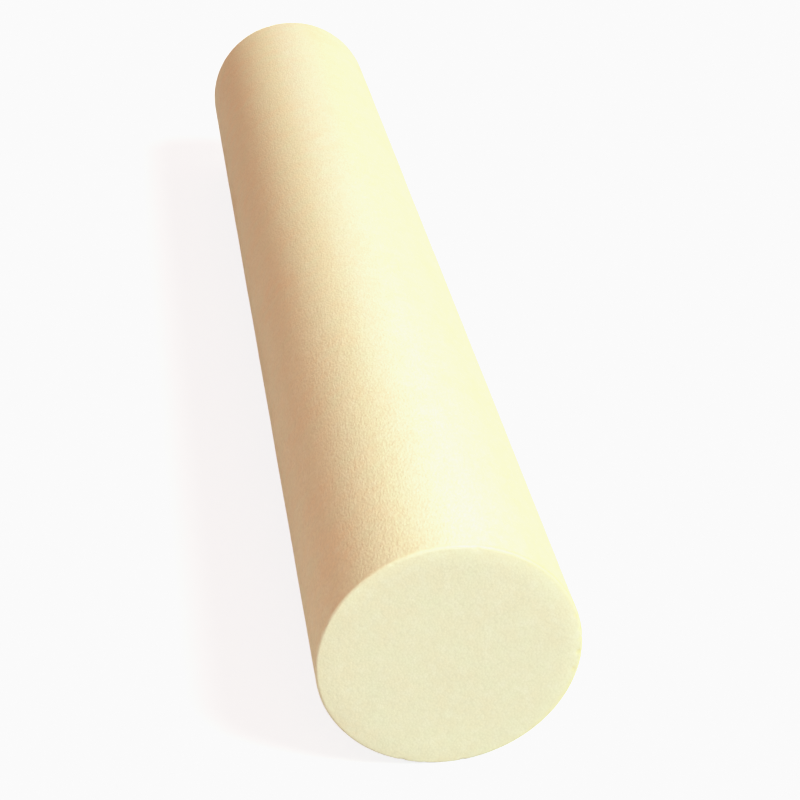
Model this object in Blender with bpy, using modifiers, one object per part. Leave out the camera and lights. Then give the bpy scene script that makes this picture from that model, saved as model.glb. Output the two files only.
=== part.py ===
"""Full-round foam roller, 36 in long and 6 in in diameter.

A solid log of closed-cell foam wears a thin skin in three pieces: a sleeve round its side, and a cap
over each end that turns over the rim and meets the sleeve a few millimetres down the side.

Units are metres and +Z is up. The roller lies along Y with its centre at the origin, and its front end
looks along -Y.
"""

import math

import bmesh
import bpy

# Driving dimensions
INCH = 0.0254
ROLLER_LENGTH = 36 * INCH
ROLLER_DIAMETER = 6 * INCH
SKIN_THICKNESS = 0.0010
RIM_RADIUS = 0.0020
LIP_LENGTH = 0.0030
PIECE_GAP = 0.0003

# Dimensions that follow from them
ROLLER_RADIUS = ROLLER_DIAMETER / 2
HALF_LENGTH = ROLLER_LENGTH / 2
CORE_RADIUS = ROLLER_RADIUS - SKIN_THICKNESS - PIECE_GAP
CORE_LENGTH = ROLLER_LENGTH - 2 * (SKIN_THICKNESS + PIECE_GAP)
SLEEVE_LENGTH = ROLLER_LENGTH - 2 * (LIP_LENGTH + PIECE_GAP)

# Fineness of the round shapes
SIDES = 96
RIM_STEPS = 4
CORE_RIM_STEPS = 3
SHARP_ANGLE = math.radians(30)
MERGE_DISTANCE = 0.0001

# Colours: red, green, blue
SKIN_COLOUR = (0.88, 0.86, 0.62)
FOAM_COLOUR = (0.90, 0.88, 0.72)

# Turning a piece by this about X points its own +Z along -Y, to the front of the roller
FACE_FRONT = math.radians(90)
FACE_REAR = math.radians(-90)


def clear_scene():
    for thing in list(bpy.data.objects):
        bpy.data.objects.remove(thing, do_unlink=True)


def new_collection(name):
    collection = bpy.data.collections.new(name)
    bpy.context.scene.collection.children.link(collection)
    return collection


def new_material(name, colour, roughness):
    material = bpy.data.materials.new(name)
    material.use_nodes = True
    shader = material.node_tree.nodes["Principled BSDF"]
    shader.inputs["Base Color"].default_value = (*colour, 1.0)
    shader.inputs["Roughness"].default_value = roughness
    shader.inputs["Metallic"].default_value = 0.0
    material.diffuse_color = (*colour, 1.0)
    return material


def add_piece(name, mesh, collection, material):
    piece = bpy.data.objects.new(name, mesh)
    piece.data.materials.append(material)
    collection.objects.link(piece)
    return piece


def shade_round(piece):
    piece.data.shade_smooth()
    piece.data.set_sharp_from_angle(angle=SHARP_ANGLE)


def cylinder_mesh(name, radius, length, capped):
    """A cylinder along its own Z, centred on its origin, open at both ends unless it is capped."""
    mesh = bpy.data.meshes.new(name)
    shape = bmesh.new()
    bmesh.ops.create_cone(
        shape,
        cap_ends=capped,
        segments=SIDES,
        radius1=radius,
        radius2=radius,
        depth=length,
    )
    shape.to_mesh(mesh)
    shape.free()
    return mesh


def profile_mesh(name, points):
    """An open line through (radius, height) points, in the XZ plane."""
    mesh = bpy.data.meshes.new(name)
    shape = bmesh.new()
    corners = [shape.verts.new((radius, 0.0, height)) for radius, height in points]
    for first, second in zip(corners, corners[1:]):
        shape.edges.new((first, second))
    shape.to_mesh(mesh)
    shape.free()
    return mesh


def add_screw(piece):
    """Turns the profile a full circle about Z into a closed round surface."""
    screw = piece.modifiers.new("Turn", "SCREW")
    screw.axis = "Z"
    screw.angle = math.tau
    screw.steps = SIDES
    screw.render_steps = SIDES
    screw.use_merge_vertices = True
    screw.merge_threshold = MERGE_DISTANCE
    screw.use_smooth_shade = True


def add_skin_thickness(piece):
    """Thickens an outer surface inwards."""
    solidify = piece.modifiers.new("Skin thickness", "SOLIDIFY")
    solidify.thickness = SKIN_THICKNESS
    solidify.offset = -1.0
    solidify.use_even_offset = True


def cap_profile():
    """The cap's outer surface from its centre, over the rim and down the lip; the face is at height 0."""
    arc_centre_radius = ROLLER_RADIUS - RIM_RADIUS
    points = [(0.0, 0.0)]
    for step in range(RIM_STEPS + 1):
        angle = math.radians(90) * step / RIM_STEPS
        radius = arc_centre_radius + RIM_RADIUS * math.sin(angle)
        height = -RIM_RADIUS + RIM_RADIUS * math.cos(angle)
        points.append((radius, height))
    points.append((ROLLER_RADIUS, -LIP_LENGTH))
    return points


def build_core(collection, material):
    """The foam log. Its rims are rounded to follow the inside of the caps."""
    mesh = cylinder_mesh("foam_core", CORE_RADIUS, CORE_LENGTH, True)
    core = add_piece("foam_core", mesh, collection, material)
    core.rotation_euler.x = FACE_FRONT
    bevel = core.modifiers.new("Rims", "BEVEL")
    bevel.width = RIM_RADIUS - SKIN_THICKNESS
    bevel.segments = CORE_RIM_STEPS
    bevel.limit_method = "ANGLE"
    bevel.angle_limit = SHARP_ANGLE
    shade_round(core)
    return core


def build_sleeve(collection, material):
    """The skin round the side, between the lips of the two caps."""
    mesh = cylinder_mesh("side_skin", ROLLER_RADIUS, SLEEVE_LENGTH, False)
    sleeve = add_piece("side_skin", mesh, collection, material)
    sleeve.rotation_euler.x = FACE_FRONT
    add_skin_thickness(sleeve)
    shade_round(sleeve)
    return sleeve


def build_cap(name, facing, place, collection, material):
    """The skin over one end. Its origin is the centre of its flat face."""
    cap = add_piece(name, profile_mesh(name, cap_profile()), collection, material)
    cap.rotation_euler.x = facing
    cap.location.y = place
    add_screw(cap)
    add_skin_thickness(cap)
    return cap


def build_roller():
    clear_scene()
    collection = new_collection("Foam roller")
    foam = new_material("foam", FOAM_COLOUR, 0.85)
    skin = new_material("skin", SKIN_COLOUR, 0.55)
    build_core(collection, foam)
    build_sleeve(collection, skin)
    build_cap("front_end_skin", FACE_FRONT, -HALF_LENGTH, collection, skin)
    build_cap("rear_end_skin", FACE_REAR, HALF_LENGTH, collection, skin)


build_roller()
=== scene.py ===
"""Looks of the foam roller: fine meshes and materials for its skins and its foam, on a pale studio floor.

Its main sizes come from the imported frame. The roller lies on the floor along Y, with its front end at -Y.
"""

import math

import bmesh
import bpy
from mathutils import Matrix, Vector, noise


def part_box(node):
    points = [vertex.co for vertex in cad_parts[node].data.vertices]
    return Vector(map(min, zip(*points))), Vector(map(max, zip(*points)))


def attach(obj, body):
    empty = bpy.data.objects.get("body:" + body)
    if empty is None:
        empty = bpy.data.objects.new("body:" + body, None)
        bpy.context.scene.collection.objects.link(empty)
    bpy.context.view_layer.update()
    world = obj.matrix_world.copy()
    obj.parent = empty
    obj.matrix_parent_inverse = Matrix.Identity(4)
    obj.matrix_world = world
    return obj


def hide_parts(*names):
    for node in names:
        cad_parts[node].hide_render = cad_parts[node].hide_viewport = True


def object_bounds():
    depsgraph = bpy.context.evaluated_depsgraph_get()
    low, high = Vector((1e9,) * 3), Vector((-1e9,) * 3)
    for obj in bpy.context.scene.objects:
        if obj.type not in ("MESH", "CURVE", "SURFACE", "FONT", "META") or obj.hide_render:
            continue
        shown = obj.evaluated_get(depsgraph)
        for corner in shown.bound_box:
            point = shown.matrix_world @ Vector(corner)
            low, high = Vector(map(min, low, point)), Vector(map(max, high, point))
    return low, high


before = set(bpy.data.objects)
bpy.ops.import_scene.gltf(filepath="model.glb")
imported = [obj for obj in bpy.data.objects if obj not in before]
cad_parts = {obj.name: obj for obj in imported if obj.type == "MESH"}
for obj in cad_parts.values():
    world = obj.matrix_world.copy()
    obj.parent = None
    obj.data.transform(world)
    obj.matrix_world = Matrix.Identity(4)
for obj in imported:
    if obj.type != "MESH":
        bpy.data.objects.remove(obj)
CAD_LOW, CAD_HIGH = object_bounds()
BODY = "root"
QUARTER_TURN = math.pi / 2

# Sizes read from the frame, in metres
RADIUS = (CAD_HIGH.x - CAD_LOW.x) / 2
HALF_LENGTH = (CAD_HIGH.y - CAD_LOW.y) / 2
CORE_RADIUS = (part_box("foam_core")[1].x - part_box("foam_core")[0].x) / 2
CORE_HALF_LENGTH = (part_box("foam_core")[1].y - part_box("foam_core")[0].y) / 2
LIP_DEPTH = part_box("front_end_skin")[1].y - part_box("front_end_skin")[0].y
PIECE_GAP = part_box("side_skin")[0].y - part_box("front_end_skin")[1].y
SKIN_THICKNESS = RADIUS - CORE_RADIUS - PIECE_GAP

# Shape of the skins: the rims, the shoulders inside them on the end faces, and the closed seams
RIM_RADIUS = 0.0020
SHOULDER_WIDTH = 0.012
SHOULDER_DROP = 0.0006
SEAM_GAP = 0.00004
SEAM_EDGE_RADIUS = 0.00005
SEAM_BORDER = 0.00020
CORE_RIM_RADIUS = 0.0015

# Fineness of the meshes
SIDE_SEGMENTS = 216
SIDE_SPACING = 0.00228
END_SEGMENTS = 432
END_SPACING = 0.0020
ARC_STEPS = 8
SEAM_STEPS = 3
INNER_RIM_STEPS = 4
CORE_SEGMENTS = 144
CORE_SPACING = 0.0045
INNER_SPACING = 0.060

# Unevenness of the surface, as (size of the waves, depth of the waves)
SLOW_WAVES = (0.070, 0.00035)
HAND_WAVES = (0.022, 0.00016)
PEEL_WAVES = (0.0075, 0.00003)
WAVE_SHIFT = Vector((3.1, 7.7, 5.3))

# Nicks in the rims: a noise of this size cuts in where it passes the rarity, up to a reach from the rim
NICK_SIZE = 0.0055
NICK_DEPTH = 0.0030
NICK_RARITY = 0.40
NICK_REACH = 0.006

# Colours as linear red, green, blue
CREAM = (0.908, 0.873, 0.624)
CREAM_ROSY = (0.923, 0.832, 0.578)
CREAM_GREEN = (0.882, 0.886, 0.634)
CREAM_PALE = (0.933, 0.908, 0.684)
# painted shade in the hollows between the pebbles
CREAM_HOLLOW_SHADE = (0.831, 0.794, 0.560)
# painted shade in the low places of the grain
GRAIN_SHADE_TINT = (0.930, 0.925, 0.920)
FOAM = (0.900, 0.870, 0.700)
# painted shade in the hollow in the middle of each foam cell
FOAM_CELL_SHADE = (0.780, 0.720, 0.520)
FLOOR = (0.563, 0.563, 0.563)

# Painted light and shade on the skin: slow changes of its colour over the roller. Each tint multiplies the
# colour, from none of it to all of it between two depths from the nearer end, or between two places across,
# in radii from the axis.
# painted shade: the end faces darker than the side, most in red and green
FACE_SHADE_TINT = (0.842, 0.850, 0.930)
FACE_DEPTHS = (0.0028, 0.0002)
SIDE_DEPTHS = (0.0007, 0.0016)
# painted shade: the rims on the lit side yellower and darker, toning down the key light's highlight there
RIM_SHADE_TINT = (0.970, 0.960, 0.780)
RIM_DEPTHS = (0.0040, 0.0022)
RIM_REACH = (-0.30, 0.30)
# painted highlight: the crest of the side paler in blue; the same band runs along the underside
CREST_HIGHLIGHT_TINT = (1.0, 1.0, 1.076)
CREST_REACH = (0.34, 0.10)
# painted shade: the lit side yellower towards the front end, taking blue out of the key light there
LIT_SIDE_SHADE_TINT = (1.0, 0.961, 0.741)
LIT_SIDE_SHADE_REACH = (0.22, 0.66)

# Fine changes of the skin's colour: the range of the noise or cells over which each one comes in. The rosy,
# green and pale blotches are the skin's own colour; the hollows between the pebbles and the low places of
# the grain are darkened as painted shade.
ROSY_RANGE = (0.35, 0.70)
GREEN_RANGE = (0.40, 0.70)
PALE_RANGE = (0.45, 0.75)
PALE_SHARE = 0.7
HOLLOW_RANGE = (0.45, 0.90)
HOLLOW_SHARE = 0.5
GRAIN_RANGE = (0.35, 0.65)
SHEEN_RANGE = (0.3, 0.7)
SKIN_ROUGHNESS = (0.46, 0.60)
SKIN_SPECULAR = 0.5

# Grain of the skin, drawn out along the roller, with sizes and depths in metres. The end skins are
# smoother than the side skin.
GRAIN_SCALE = (1.0, 0.6, 1.0)
GRAIN_SHARPNESS = 0.6
PEBBLE_SIZE = 0.0015
PEBBLE_DEPTH = 0.00014
LUMP_SIZE = 0.0048
LUMP_DEPTH = 0.00023
PORE_SIZE = 0.0007
PORE_DEPTH = 0.00004
SIDE_RELIEF = 1.0
END_RELIEF = 0.36
SIDE_MOTTLE = 1.0
END_MOTTLE = 0.6
BLOTCH_SIZES = (0.048, 0.017, 0.006)

# Foam: its cells are rougher in the middle, and darker there with painted shade in their hollows, over
# these shares of a cell
CELL_SIZE = 0.0011
CELL_RELIEF = 0.3
CELL_SHADE_REACH = 0.5
CELL_SHADE_SHARE = 0.7
CELL_ROUGH = 0.6
FOAM_ROUGHNESS = (0.9, 0.7)
FOAM_MOTTLE = 0.4

# Floor
FLOOR_SIZE = 30.0
FLOOR_MOTTLE = 0.3
FLOOR_MOTTLE_SIZE = 0.4
FLOOR_DARKENING = 0.97
FLOOR_ROUGHNESS = 0.9
FLOOR_SPECULAR = 0.1
MOTTLE_RANGE = (0.3, 0.7)
MOTTLE_DETAIL = 3.0

# Camera: its place in lengths of the roller from its centre, angles in radians, lens in millimetres
CAMERA_PLACE = (-0.1589, -1.3318, 0.6708)
CAMERA_YAW = 0.1523
CAMERA_PITCH = 0.5228
CAMERA_LENS = 78.74
CAMERA_CLIP_START = 0.05

# Lights: turn is from straight up to the right, and forward is towards the front end
KEY_TURN = math.radians(40)
KEY_FORWARD = math.radians(28)
KEY_DISTANCE = 4.3
KEY_SIZE = 2.0
KEY_POWER = 249.0
KEY_COLOUR = (0.778, 1.0, 0.914)
FILL_FORWARD = math.radians(40)
FILL_DISTANCE = 1.6
FILL_SIZE = 0.8
FILL_POWER = 2.4
FILL_COLOUR = (1.0, 0.740, 0.734)
BACK_DISTANCE = 4.0
BACK_SIZE = 0.14
BACK_POWER = 85.0

# Surroundings: the light from all round, and how pale the camera sees the backdrop and the floor
AMBIENT_COLOUR = (1.0, 0.553, 0.385)
AMBIENT_STRENGTH = 0.553
BACKDROP_COLOUR = (1.0, 1.0, 1.0)
BACKDROP_GLOW = 1.2
FLOOR_GLOW_COLOUR = (0.920, 0.960, 1.000)
FLOOR_GLOW = 2.7
FLOOR_SHADOW = 0.70
SHADOW_REACH = (0.9, 2.6)

# Display: values above the start are rolled off, up to the brightest
ROLL_OFF_START = 0.88
BRIGHTEST = 0.957
COMBINED_CURVE = 3

# Sockets of a colour mix node
MIX_FIRST = 6
MIX_SECOND = 7
MIX_RESULT = 2


# ---------------------------------------------------------------- meshes

def unevenness(point):
    """How far the surface is pushed in at a point, never less than nothing."""
    depth = 0.0
    for step, (size, height) in enumerate((SLOW_WAVES, HAND_WAVES, PEEL_WAVES)):
        value = noise.noise(point / size + WAVE_SHIFT * (step + 1))
        depth += height * (0.5 + 0.5 * value)
    return depth + nick_depth(point)


def nick_depth(point):
    """The depth of the rare small dents that handling leaves in the rims."""
    from_rim = math.hypot(HALF_LENGTH - abs(point.y), RADIUS - math.hypot(point.x, point.z))
    if from_rim > NICK_REACH:
        return 0.0
    value = noise.noise(point / NICK_SIZE + WAVE_SHIFT)
    return NICK_DEPTH * max(0.0, value - NICK_RARITY) * (1 - from_rim / NICK_REACH)


def straight(start, end, spacing):
    """Points along a line, the start included and the end left out."""
    length = math.dist(start, end)
    steps = max(1, round(length / spacing))
    return [
        (start[0] + (end[0] - start[0]) * i / steps, start[1] + (end[1] - start[1]) * i / steps)
        for i in range(steps)
    ]


def arc(centre, radius, start, end, steps):
    """Points along an arc, the start included and the end left out.

    Angle 0 points away from the roller's axis, and a quarter turn points deeper in from its end.
    """
    points = []
    for i in range(steps):
        angle = start + (end - start) * i / steps
        points.append((centre[0] + radius * math.cos(angle), centre[1] + radius * math.sin(angle)))
    return points


def outward(radius, depth):
    """The way out of the roller at a point of its surface, as (radius, depth)."""
    across = max(0.0, radius - RADIUS + RIM_RADIUS)
    along = min(0.0, depth - SHOULDER_DROP - RIM_RADIUS)
    length = math.hypot(across, along)
    return across / length, along / length


def turned_points(outline, segments, outer_count, facing):
    """The points of an outline turned about the Y axis, and the numbers of the points in each ring.

    Outline points are (radius, depth), with depth measured from the end face at facing * HALF_LENGTH
    towards the middle. The first outer_count are the visible surface, and are pushed in unevenly.
    """
    points = []
    rings = []
    for index, (radius, depth) in enumerate(outline):
        ring = []
        for k in range(segments if radius > 0.0 else 1):
            turn = math.tau * k / segments
            sine, cosine = math.sin(turn), math.cos(turn)
            r, d = radius, depth
            if index < outer_count:
                y = facing * (HALF_LENGTH - depth)
                push = unevenness(Vector((radius * sine, y, radius * cosine)))
                across, along = outward(radius, depth)
                r -= push * across
                d -= push * along
            ring.append(len(points))
            points.append((r * sine, facing * (HALF_LENGTH - d), r * cosine))
        rings.append(ring)
    return points, rings


def faces_between(rings, segments, closed):
    """The faces from each ring to the next. A closed outline also joins its last ring to its first."""
    pairs = list(zip(rings, rings[1:]))
    if closed:
        pairs.append((rings[-1], rings[0]))
    faces = []
    for first, second in pairs:
        for k in range(segments):
            n = (k + 1) % segments
            if len(first) == 1:
                faces.append((first[0], second[k], second[n]))
            elif len(second) == 1:
                faces.append((first[k], second[0], first[n]))
            else:
                faces.append((first[k], second[k], second[n], first[n]))
    return faces


def turned_mesh(name, outline, segments, closed, outer_count, facing):
    """A smooth mesh, turned from an outline, with its faces pointing out of it."""
    points, rings = turned_points(outline, segments, outer_count, facing)
    mesh = bpy.data.meshes.new(name)
    mesh.from_pydata(points, [], faces_between(rings, segments, closed))
    shape = bmesh.new()
    shape.from_mesh(mesh)
    bmesh.ops.recalc_face_normals(shape, faces=shape.faces)
    shape.to_mesh(mesh)
    shape.free()
    mesh.shade_smooth()
    return mesh


def add_piece(name, mesh, material, node):
    """Adds a mesh as a piece that rides the body and is seen in place of a node of the CAD."""
    piece = bpy.data.objects.new(name, mesh)
    bpy.context.scene.collection.objects.link(piece)
    mesh.materials.append(material)
    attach(piece, BODY)
    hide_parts(node)


def side_outline():
    """The sleeve: its outer surface from the front seam to the rear seam, then back along its inside."""
    inner = RADIUS - SKIN_THICKNESS
    front = LIP_DEPTH + PIECE_GAP / 2 + SEAM_GAP / 2
    rear = 2 * HALF_LENGTH - front
    edge = SEAM_EDGE_RADIUS
    outline = arc((RADIUS - edge, front + edge), edge, -QUARTER_TURN, 0, SEAM_STEPS)
    outline.append((RADIUS, front + edge))
    outline += straight((RADIUS, front + SEAM_BORDER), (RADIUS, rear - SEAM_BORDER), SIDE_SPACING)
    outline.append((RADIUS, rear - SEAM_BORDER))
    outline += arc((RADIUS - edge, rear - edge), edge, 0, QUARTER_TURN, SEAM_STEPS)
    outer_count = len(outline) + 1
    outline.append((RADIUS - edge, rear))
    outline += straight((inner, rear), (inner, front), INNER_SPACING)
    outline.append((inner, front))
    return outline, outer_count


def end_outline():
    """A cap: from the centre of its face over the shoulder and the rim to the seam, then back inside."""
    slope = math.atan(2 * SHOULDER_DROP / SHOULDER_WIDTH)
    rim_centre = (RADIUS - RIM_RADIUS, SHOULDER_DROP + RIM_RADIUS * math.cos(slope))
    rim_start = rim_centre[0] + RIM_RADIUS * math.sin(slope)
    flat = rim_start - SHOULDER_WIDTH
    seam = LIP_DEPTH + PIECE_GAP / 2 - SEAM_GAP / 2
    edge = SEAM_EDGE_RADIUS
    inner = RADIUS - SKIN_THICKNESS
    outline = straight((0.0, 0.0), (flat, 0.0), END_SPACING)
    for i in range(ARC_STEPS):
        share = i / ARC_STEPS
        outline.append((flat + SHOULDER_WIDTH * share, SHOULDER_DROP * share ** 2))
    outline += arc(rim_centre, RIM_RADIUS, slope - QUARTER_TURN, 0, ARC_STEPS)
    outline.append((RADIUS, rim_centre[1]))
    outline.append((RADIUS, seam - SEAM_BORDER))
    outline += arc((RADIUS - edge, seam - edge), edge, 0, QUARTER_TURN, SEAM_STEPS)
    outer_count = len(outline) + 1
    outline.append((RADIUS - edge, seam))
    outline.append((inner, seam))
    under = SHOULDER_DROP + SKIN_THICKNESS
    inner_rim = RIM_RADIUS - SKIN_THICKNESS
    inner_centre = (inner - inner_rim, under + inner_rim)
    outline += arc(inner_centre, inner_rim, 0, -QUARTER_TURN, INNER_RIM_STEPS)
    outline.append((inner - inner_rim, under))
    outline.append((flat, SKIN_THICKNESS))
    outline.append((0.0, SKIN_THICKNESS))
    return outline, outer_count


def core_outline():
    """The foam log: one end's centre, over its rounded rims, to the other end's centre."""
    front = HALF_LENGTH - CORE_HALF_LENGTH + SHOULDER_DROP
    rear = 2 * HALF_LENGTH - front
    rim = CORE_RIM_RADIUS
    outline = straight((0.0, front), (CORE_RADIUS - rim, front), CORE_SPACING)
    outline += arc((CORE_RADIUS - rim, front + rim), rim, -QUARTER_TURN, 0, INNER_RIM_STEPS)
    outline += straight((CORE_RADIUS, front + rim), (CORE_RADIUS, rear - rim), CORE_SPACING)
    outline += arc((CORE_RADIUS - rim, rear - rim), rim, 0, QUARTER_TURN, INNER_RIM_STEPS)
    outline += straight((CORE_RADIUS - rim, rear), (0.0, rear), CORE_SPACING)
    outline.append((0.0, rear))
    return outline, 0


# ---------------------------------------------------------------- materials

class Nodes:
    """A material's node tree, with short calls to add and join its nodes."""

    def __init__(self, name):
        self.material = bpy.data.materials.new(name)
        self.material.use_nodes = True
        self.tree = self.material.node_tree
        self.shader = self.tree.nodes["Principled BSDF"]
        self.place = self.add("ShaderNodeTexCoord").outputs["Object"]

    def add(self, kind, **settings):
        node = self.tree.nodes.new(kind)
        for key, value in settings.items():
            setattr(node, key, value)
        return node

    def join(self, source, target):
        self.tree.links.new(source, target)

    def stretched(self, scale):
        """The place on the object, scaled along each axis, so that patterns there are drawn out."""
        node = self.add("ShaderNodeVectorMath", operation="MULTIPLY")
        self.join(self.place, node.inputs[0])
        node.inputs[1].default_value = scale
        return node.outputs["Vector"]

    def noise(self, size, detail=2.0, roughness=0.5, place=None):
        node = self.add("ShaderNodeTexNoise")
        self.join(place or self.place, node.inputs["Vector"])
        node.inputs["Scale"].default_value = 1.0 / size
        node.inputs["Detail"].default_value = detail
        node.inputs["Roughness"].default_value = roughness
        return node.outputs["Fac"]

    def cells(self, size, place=None):
        """Distance from the middle of the nearest cell, in cell sizes."""
        node = self.add("ShaderNodeTexVoronoi")
        self.join(place or self.place, node.inputs["Vector"])
        node.inputs["Scale"].default_value = 1.0 / size
        return node.outputs["Distance"]

    def ramp(self, value, start, full, start_to=0.0, full_to=1.0):
        """Turns a value that goes from start to full into one that goes from start_to to full_to."""
        node = self.add("ShaderNodeMapRange")
        self.join(value, node.inputs["Value"])
        node.inputs["From Min"].default_value = start
        node.inputs["From Max"].default_value = full
        node.inputs["To Min"].default_value = start_to
        node.inputs["To Max"].default_value = full_to
        return node.outputs["Result"]

    def mix(self, factor, first, second):
        """The first colour where the factor is nothing, and the second where it is one."""
        node = self.add("ShaderNodeMix", data_type="RGBA")
        self.join(factor, node.inputs["Factor"])
        for value, socket in ((first, node.inputs[MIX_FIRST]), (second, node.inputs[MIX_SECOND])):
            if isinstance(value, tuple):
                socket.default_value = (*value, 1.0)
            else:
                self.join(value, socket)
        return node.outputs[MIX_RESULT]

    def magnitude(self, value):
        node = self.add("ShaderNodeMath", operation="ABSOLUTE")
        self.join(value, node.inputs[0])
        return node.outputs["Value"]

    def product(self, first, second):
        node = self.add("ShaderNodeMath", operation="MULTIPLY")
        self.join(first, node.inputs[0])
        self.join(second, node.inputs[1])
        return node.outputs["Value"]

    def tint(self, colour, factor, tint):
        """The colour, multiplied by the tint as far as the factor says."""
        node = self.add("ShaderNodeMix", data_type="RGBA", blend_type="MULTIPLY")
        self.join(factor, node.inputs["Factor"])
        self.join(colour, node.inputs[MIX_FIRST])
        node.inputs[MIX_SECOND].default_value = (*tint, 1.0)
        return node.outputs[MIX_RESULT]

    def layered(self, *layers):
        """The sum of (value, weight) layers."""
        total = None
        for value, weight in layers:
            node = self.add("ShaderNodeMath", operation="MULTIPLY_ADD")
            self.join(value, node.inputs[0])
            node.inputs[1].default_value = weight
            if total is None:
                node.inputs[2].default_value = 0.0
            else:
                self.join(total, node.inputs[2])
            total = node.outputs["Value"]
        return total

    def bump(self, height):
        """A bump from a height in metres."""
        node = self.add("ShaderNodeBump")
        node.inputs["Strength"].default_value = 1.0
        node.inputs["Distance"].default_value = 1.0
        self.join(height, node.inputs["Height"])
        return node.outputs["Normal"]

    def set(self, name, value):
        self.shader.inputs[name].default_value = value


def painted_light_and_shade(nodes, colour):
    """Painted light and shade: the end faces a little darker, the rims and the lit side a little yellower,
    as painted shade, and the crest a little paler, as a painted highlight.
    """
    axes = nodes.add("ShaderNodeSeparateXYZ")
    nodes.join(nodes.place, axes.inputs["Vector"])
    across, along, _ = axes.outputs
    to_end = nodes.magnitude(along)

    def at_depths(depths):
        start, full = [HALF_LENGTH - depth for depth in depths]
        return nodes.ramp(to_end, start, full)

    def at_places(value, reach):
        start, full = [place * RADIUS for place in reach]
        return nodes.ramp(value, start, full)

    side = at_depths(SIDE_DEPTHS)
    # painted shade on the rims of the lit side
    rim = nodes.product(nodes.product(side, at_depths(RIM_DEPTHS)), at_places(across, RIM_REACH))
    # painted highlight along the crest, and along the underside
    crest = nodes.product(side, at_places(nodes.magnitude(across), CREST_REACH))
    # painted shade on the lit side, strongest at the front end
    to_front = nodes.ramp(along, HALF_LENGTH, -HALF_LENGTH)
    lit_side_shade = nodes.product(nodes.product(side, at_places(across, LIT_SIDE_SHADE_REACH)), to_front)
    for factor, tint in (
        # painted shade on the end faces
        (at_depths(FACE_DEPTHS), FACE_SHADE_TINT),
        (rim, RIM_SHADE_TINT),
        (crest, CREST_HIGHLIGHT_TINT),
        (lit_side_shade, LIT_SIDE_SHADE_TINT),
    ):
        colour = nodes.tint(colour, factor, tint)
    return colour


def skin_material(name, relief, mottle):
    """Closed, finely pebbled cream skin with a matt satin surface.

    Relief scales the depth of its grain and of the painted shade in its low places, and mottle the strength
    of its blotches. The hollows between its pebbles get painted shade too.
    """
    nodes = Nodes(name)
    rosy, green, pale = [nodes.noise(size) for size in BLOTCH_SIZES]
    place = nodes.stretched(GRAIN_SCALE)
    pebbles = nodes.cells(PEBBLE_SIZE, place)
    grain = nodes.noise(PEBBLE_SIZE, roughness=GRAIN_SHARPNESS, place=place)
    lumps = nodes.noise(LUMP_SIZE, roughness=GRAIN_SHARPNESS, place=place)
    pores = nodes.noise(PORE_SIZE)

    colour = nodes.mix(nodes.ramp(rosy, *ROSY_RANGE, 0.0, mottle), CREAM, CREAM_ROSY)
    colour = nodes.mix(nodes.ramp(green, *GREEN_RANGE, 0.0, mottle), colour, CREAM_GREEN)
    colour = nodes.mix(nodes.ramp(pale, *PALE_RANGE, 0.0, PALE_SHARE), colour, CREAM_PALE)
    # painted shade in the hollows between the pebbles
    colour = nodes.mix(nodes.ramp(pebbles, *HOLLOW_RANGE, 0.0, HOLLOW_SHARE), colour, CREAM_HOLLOW_SHADE)
    # painted shade in the low places of the grain, as strong as the relief
    colour = nodes.tint(colour, nodes.ramp(grain, *GRAIN_RANGE, relief, 0.0), GRAIN_SHADE_TINT)
    # the slow painted light and shade over the roller
    nodes.join(painted_light_and_shade(nodes, colour), nodes.shader.inputs["Base Color"])

    roughness = nodes.ramp(grain, *SHEEN_RANGE, *SKIN_ROUGHNESS)
    nodes.join(roughness, nodes.shader.inputs["Roughness"])

    height = nodes.layered(
        (pebbles, -PEBBLE_DEPTH * relief),
        (grain, PEBBLE_DEPTH * relief),
        (lumps, LUMP_DEPTH * relief),
        (pores, PORE_DEPTH * relief),
    )
    nodes.join(nodes.bump(height), nodes.shader.inputs["Normal"])

    nodes.set("Specular IOR Level", SKIN_SPECULAR)
    return nodes.material


def foam_material():
    """Closed-cell foam: fine round cells with pale walls, and painted shade in the hollow in the middle of
    each.
    """
    nodes = Nodes("foam")
    cells = nodes.cells(CELL_SIZE)
    mottle = nodes.noise(BLOTCH_SIZES[0], MOTTLE_DETAIL)
    colour = nodes.mix(nodes.ramp(mottle, *MOTTLE_RANGE, 0.0, FOAM_MOTTLE), FOAM, CREAM_PALE)
    # painted shade in the hollow in the middle of each cell
    colour = nodes.mix(nodes.ramp(cells, 0.0, CELL_SHADE_REACH, CELL_SHADE_SHARE, 0.0), colour, FOAM_CELL_SHADE)
    nodes.join(colour, nodes.shader.inputs["Base Color"])
    roughness = nodes.ramp(cells, 0.0, CELL_ROUGH, *FOAM_ROUGHNESS)
    nodes.join(roughness, nodes.shader.inputs["Roughness"])
    height = nodes.layered((cells, CELL_SIZE * CELL_RELIEF))
    nodes.join(nodes.bump(height), nodes.shader.inputs["Normal"])
    return nodes.material


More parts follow.
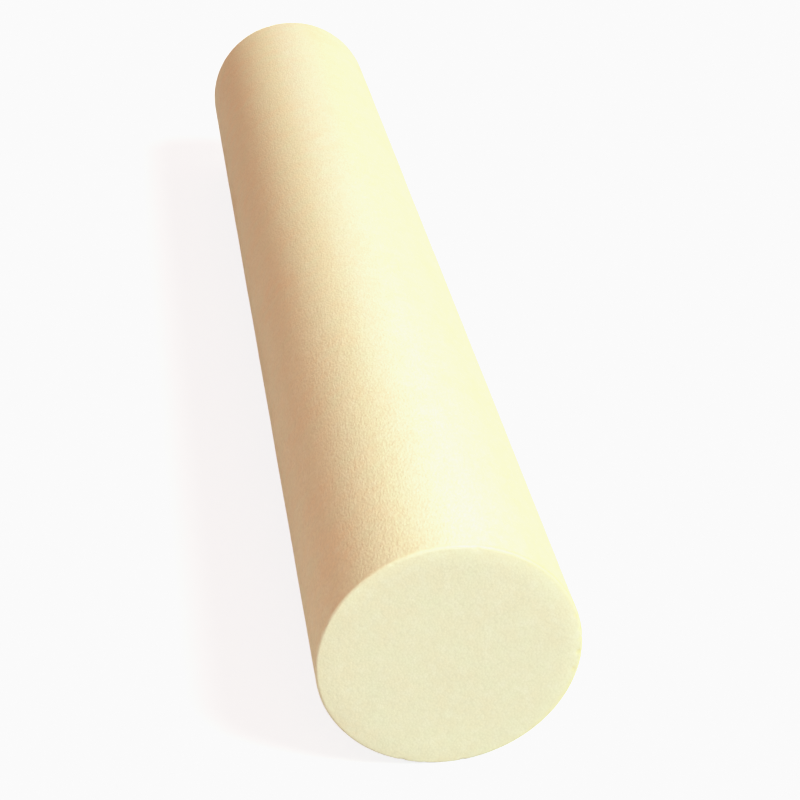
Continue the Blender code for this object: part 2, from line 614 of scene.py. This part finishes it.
def floor_material():
    """A pale matt floor. The camera sees it paler than it lights the roller, so its shadow stays soft."""
    nodes = Nodes("floor")
    mottle = nodes.noise(FLOOR_MOTTLE_SIZE, MOTTLE_DETAIL)
    darker = tuple(value * FLOOR_DARKENING for value in FLOOR)
    colour = nodes.mix(nodes.ramp(mottle, *MOTTLE_RANGE, 0.0, FLOOR_MOTTLE), FLOOR, darker)
    nodes.join(colour, nodes.shader.inputs["Base Color"])
    nodes.set("Roughness", FLOOR_ROUGHNESS)
    nodes.set("Specular IOR Level", FLOOR_SPECULAR)
    glow = nodes.add("ShaderNodeEmission")
    glow.inputs["Color"].default_value = (*FLOOR_GLOW_COLOUR, 1.0)
    glow.inputs["Strength"].default_value = FLOOR_GLOW
    distance = nodes.add("ShaderNodeVectorMath", operation="LENGTH")
    nodes.join(nodes.place, distance.inputs["Vector"])
    share = nodes.ramp(distance.outputs["Value"], *SHADOW_REACH, 1.0 - FLOOR_SHADOW, 1.0)
    seen = nodes.add("ShaderNodeLightPath").outputs["Is Camera Ray"]
    blend = nodes.add("ShaderNodeMixShader")
    nodes.join(nodes.product(seen, share), blend.inputs["Fac"])
    nodes.join(nodes.shader.outputs["BSDF"], blend.inputs[1])
    nodes.join(glow.outputs["Emission"], blend.inputs[2])
    nodes.join(blend.outputs["Shader"], nodes.tree.nodes["Material Output"].inputs["Surface"])
    return nodes.material


# ---------------------------------------------------------------- object

def build_roller():
    side_skin = skin_material("side skin", SIDE_RELIEF, SIDE_MOTTLE)
    end_skin = skin_material("end skin", END_RELIEF, END_MOTTLE)
    outline, outer_count = side_outline()
    mesh = turned_mesh("roller_side", outline, SIDE_SEGMENTS, True, outer_count, -1)
    add_piece("roller_side", mesh, side_skin, "side_skin")
    outline, outer_count = end_outline()
    for name, node, facing in (
        ("roller_front_end", "front_end_skin", -1),
        ("roller_rear_end", "rear_end_skin", 1),
    ):
        mesh = turned_mesh(name, outline, END_SEGMENTS, False, outer_count, facing)
        add_piece(name, mesh, end_skin, node)
    outline, outer_count = core_outline()
    mesh = turned_mesh("roller_foam", outline, CORE_SEGMENTS, False, outer_count, -1)
    add_piece("roller_foam", mesh, foam_material(), "foam_core")


# ---------------------------------------------------------------- studio

def build_floor():
    mesh = bpy.data.meshes.new("floor")
    half = FLOOR_SIZE / 2
    z = CAD_LOW.z
    corners = [(-half, -half, z), (half, -half, z), (half, half, z), (-half, half, z)]
    mesh.from_pydata(corners, [], [(0, 1, 2, 3)])
    floor = bpy.data.objects.new("floor", mesh)
    mesh.materials.append(floor_material())
    bpy.context.scene.collection.objects.link(floor)


def add_area_light(name, direction, distance, size, power, colour):
    data = bpy.data.lights.new(name, "AREA")
    data.shape = "DISK"
    data.size = size
    data.energy = power
    data.color = colour
    light = bpy.data.objects.new(name, data)
    light.location = direction.normalized() * distance
    light.rotation_mode = "QUATERNION"
    light.rotation_quaternion = direction.to_track_quat("Z", "Y")
    light.visible_camera = False
    bpy.context.scene.collection.objects.link(light)


def build_lights():
    """A key from the upper right front, a weak fill from the left, and a small light on the far end."""
    side = math.cos(KEY_FORWARD)
    direction = Vector((math.sin(KEY_TURN) * side, -math.sin(KEY_FORWARD), math.cos(KEY_TURN) * side))
    add_area_light("key", direction, KEY_DISTANCE, KEY_SIZE, KEY_POWER, KEY_COLOUR)
    direction = Vector((-math.cos(FILL_FORWARD), -math.sin(FILL_FORWARD), 0.0))
    add_area_light("fill", direction, FILL_DISTANCE, FILL_SIZE, FILL_POWER, FILL_COLOUR)
    add_area_light("back", Vector((0.0, 1.0, 0.0)), BACK_DISTANCE, BACK_SIZE, BACK_POWER, KEY_COLOUR)


def build_world():
    """Warm soft light from all round, behind a backdrop as pale as the floor."""
    world = bpy.data.worlds.new("studio")
    world.use_nodes = True
    tree = world.node_tree
    ambient = tree.nodes["Background"]
    ambient.inputs["Color"].default_value = (*AMBIENT_COLOUR, 1.0)
    ambient.inputs["Strength"].default_value = AMBIENT_STRENGTH
    backdrop = tree.nodes.new("ShaderNodeBackground")
    backdrop.inputs["Color"].default_value = (*BACKDROP_COLOUR, 1.0)
    backdrop.inputs["Strength"].default_value = BACKDROP_GLOW
    path = tree.nodes.new("ShaderNodeLightPath")
    blend = tree.nodes.new("ShaderNodeMixShader")
    tree.links.new(path.outputs["Is Camera Ray"], blend.inputs["Fac"])
    tree.links.new(ambient.outputs["Background"], blend.inputs[1])
    tree.links.new(backdrop.outputs["Background"], blend.inputs[2])
    tree.links.new(blend.outputs["Shader"], tree.nodes["World Output"].inputs["Surface"])
    bpy.context.scene.world = world


def build_camera():
    data = bpy.data.cameras.new("camera")
    data.lens = CAMERA_LENS
    data.clip_start = CAMERA_CLIP_START
    camera = bpy.data.objects.new("camera", data)
    level = math.cos(CAMERA_PITCH)
    ahead = Vector((math.sin(CAMERA_YAW) * level, math.cos(CAMERA_YAW) * level, -math.sin(CAMERA_PITCH)))
    camera.location = Vector(CAMERA_PLACE) * 2 * HALF_LENGTH
    camera.rotation_mode = "QUATERNION"
    camera.rotation_quaternion = ahead.to_track_quat("-Z", "Y")
    bpy.context.scene.collection.objects.link(camera)
    bpy.context.scene.camera = camera


def set_view():
    """Plain display colours, with the brightest values rolled off to just below white."""
    view = bpy.context.scene.view_settings
    view.view_transform = "Standard"
    view.use_curve_mapping = True
    view.curve_mapping.extend = "HORIZONTAL"
    curve = view.curve_mapping.curves[COMBINED_CURVE]
    curve.points[1].location = (1.0, BRIGHTEST)
    curve.points.new(ROLL_OFF_START, ROLL_OFF_START)
    for point in curve.points:
        point.handle_type = "VECTOR"
    view.curve_mapping.update()


build_roller()
build_floor()
build_lights()
build_world()
build_camera()
set_view()
